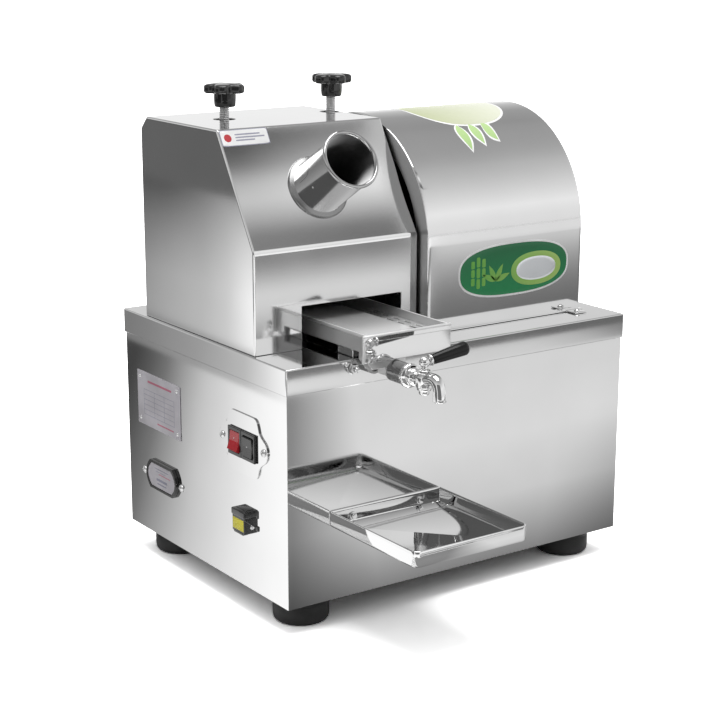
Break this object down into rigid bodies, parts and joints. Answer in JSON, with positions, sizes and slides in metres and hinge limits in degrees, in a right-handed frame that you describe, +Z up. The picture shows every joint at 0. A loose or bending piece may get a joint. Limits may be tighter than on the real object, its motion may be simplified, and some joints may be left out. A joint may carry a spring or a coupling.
{
  "type": "sugarcane juicer",
  "caption": "Desktop sugarcane juicer: roller housing with a feed tube and star knobs, arched gear cover, juice pan with tap, cup tray, polished steel cabinet on feet.",
  "frame": {"origin": "on the floor under the middle of the whole machine's outline", "axes": "+Z up; the juice pan and tap face -Y; +X is toward the arched cover, on the right seen from the front"},
  "size_m": [0.4976, 0.5206, 0.5837],
  "materials": {
    "polished_steel": "mirror polished stainless sheet",
    "satin_steel": "machined stainless",
    "chrome": "polished chrome",
    "dark_iron": "dark cast iron",
    "bronze": "machined bronze",
    "black_plastic": "black moulded plastic",
    "battery_case": "black battery case",
    "rubber": "black rubber",
    "red_plastic": "red moulded plastic",
    "pale_panel": "pale printed panel, left bare",
    "motor_paint": "blue motor paint"
  },
  "bodies": {
    "machine": {"cabinet_shell": "polished_steel", "base_plate": "polished_steel", "rear_panel": "polished_steel", "worktop": "polished_steel", "foot_front_left": "rubber", "foot_front_right": "rubber", "foot_rear_left": "rubber", "foot_rear_right": "rubber", "battery": "battery_case", "roller_housing": "polished_steel", "arched_cover": "polished_steel", "bagasse_chute": "polished_steel", "feed_tube": "polished_steel", "feed_tube_collar": "polished_steel", "left_side_frame": "dark_iron", "right_side_frame": "dark_iron", "left_frame_cap": "dark_iron", "right_frame_cap": "dark_iron", "front_roller_left_bush": "bronze", "rear_roller_left_bush": "bronze", "front_roller_right_bush": "bronze", "rear_roller_right_bush": "bronze", "trash_plate": "polished_steel", "gearbox": "dark_iron", "motor": "motor_paint", "left_pan_rail": "polished_steel", "right_pan_rail": "polished_steel", "skirt_bolt": "chrome", "cup_tray": "polished_steel", "cup_tray_bolt_left": "chrome", "cup_tray_bolt_right": "chrome", "switch_plate": "polished_steel", "red_switch_bezel": "black_plastic", "black_switch_bezel": "black_plastic", "power_inlet": "black_plastic", "gauge_bezel": "black_plastic", "gauge_face": "pale_panel", "rating_plate": "pale_panel"},
    "bearing_blocks": {"left_bearing_block": "bronze", "right_bearing_block": "bronze"},
    "left_screw": {"left_pressure_screw": "satin_steel", "left_star_knob": "black_plastic"},
    "right_screw": {"right_pressure_screw": "satin_steel", "right_star_knob": "black_plastic"},
    "top_roller": {"top_roller": "satin_steel", "top_roller_gear": "dark_iron"},
    "front_roller": {"front_roller": "satin_steel", "front_roller_gear": "dark_iron"},
    "rear_roller": {"rear_roller": "satin_steel", "rear_roller_gear": "dark_iron", "drive_gear": "dark_iron"},
    "motor_pinion": {"motor_pinion": "dark_iron"},
    "juice_pan": {"juice_pan": "polished_steel", "pan_front_plate": "polished_steel", "tap_body": "chrome"},
    "strainer_tray": {"strainer_tray": "polished_steel"},
    "tap_lever": {"tap_plug": "chrome", "tap_lever": "black_plastic"},
    "red_rocker": {"red_rocker": "red_plastic"},
    "black_rocker": {"black_rocker": "black_plastic"}
  },
  "joints": [
    {"name": "bearing_block_slide", "type": "slide", "parent": "machine", "child": "bearing_blocks", "axis": [0, 0, 1], "range_m": [0, 0.0035]},
    {"name": "left_screw_turn", "type": "hinge", "parent": "bearing_blocks", "child": "left_screw", "pos_m": [-0.16625, 0.12225, 0.56], "axis": [0, 0, 1], "range_deg": [0, 720]},
    {"name": "right_screw_turn", "type": "hinge", "parent": "bearing_blocks", "child": "right_screw", "pos_m": [-0.02075, 0.12225, 0.56], "axis": [0, 0, 1], "range_deg": [0, 720]},
    {"name": "top_roller_spin", "type": "hinge", "parent": "bearing_blocks", "child": "top_roller", "pos_m": [-0.09125, 0.12225, 0.43149], "axis": [1, 0, 0], "continuous": true},
    {"name": "front_roller_spin", "type": "hinge", "parent": "machine", "child": "front_roller", "pos_m": [-0.09125, 0.08025, 0.374], "axis": [1, 0, 0], "continuous": true},
    {"name": "rear_roller_spin", "type": "hinge", "parent": "machine", "child": "rear_roller", "pos_m": [-0.09125, 0.16425, 0.374], "axis": [1, 0, 0], "continuous": true},
    {"name": "motor_pinion_spin", "type": "hinge", "parent": "machine", "child": "motor_pinion", "pos_m": [0.02375, 0.11118, 0.348], "axis": [1, 0, 0], "continuous": true},
    {"name": "juice_pan_slide", "type": "slide", "parent": "machine", "child": "juice_pan", "axis": [0, -1, 0], "range_m": [0, 0.2]},
    {"name": "strainer_tray_lift", "type": "slide", "parent": "juice_pan", "child": "strainer_tray", "axis": [0, 0, 1], "range_m": [0, 0.015]},
    {"name": "tap_lever_turn", "type": "hinge", "parent": "juice_pan", "child": "tap_lever", "pos_m": [-0.10425, -0.17755, 0.288], "axis": [0, 0, 1], "range_deg": [-90, 0]},
    {"name": "red_rocker_tilt", "type": "hinge", "parent": "machine", "child": "red_rocker", "pos_m": [-0.23155, -0.0023, 0.1996], "axis": [0, 1, 0], "range_deg": [-24, 0]},
    {"name": "black_rocker_tilt", "type": "hinge", "parent": "machine", "child": "black_rocker", "pos_m": [-0.23155, -0.0306, 0.1996], "axis": [0, 1, 0], "range_deg": [-12, 12]}
  ],
  "couplings": [
    {"joint": "left_screw_turn", "follows": "bearing_block_slide", "rad_per_m": 3590.4},
    {"joint": "right_screw_turn", "follows": "bearing_block_slide", "rad_per_m": 3590.4},
    {"joint": "front_roller_spin", "follows": "top_roller_spin", "ratio": -1},
    {"joint": "rear_roller_spin", "follows": "top_roller_spin", "ratio": -1},
    {"joint": "motor_pinion_spin", "follows": "top_roller_spin", "ratio": 2}
  ]
}
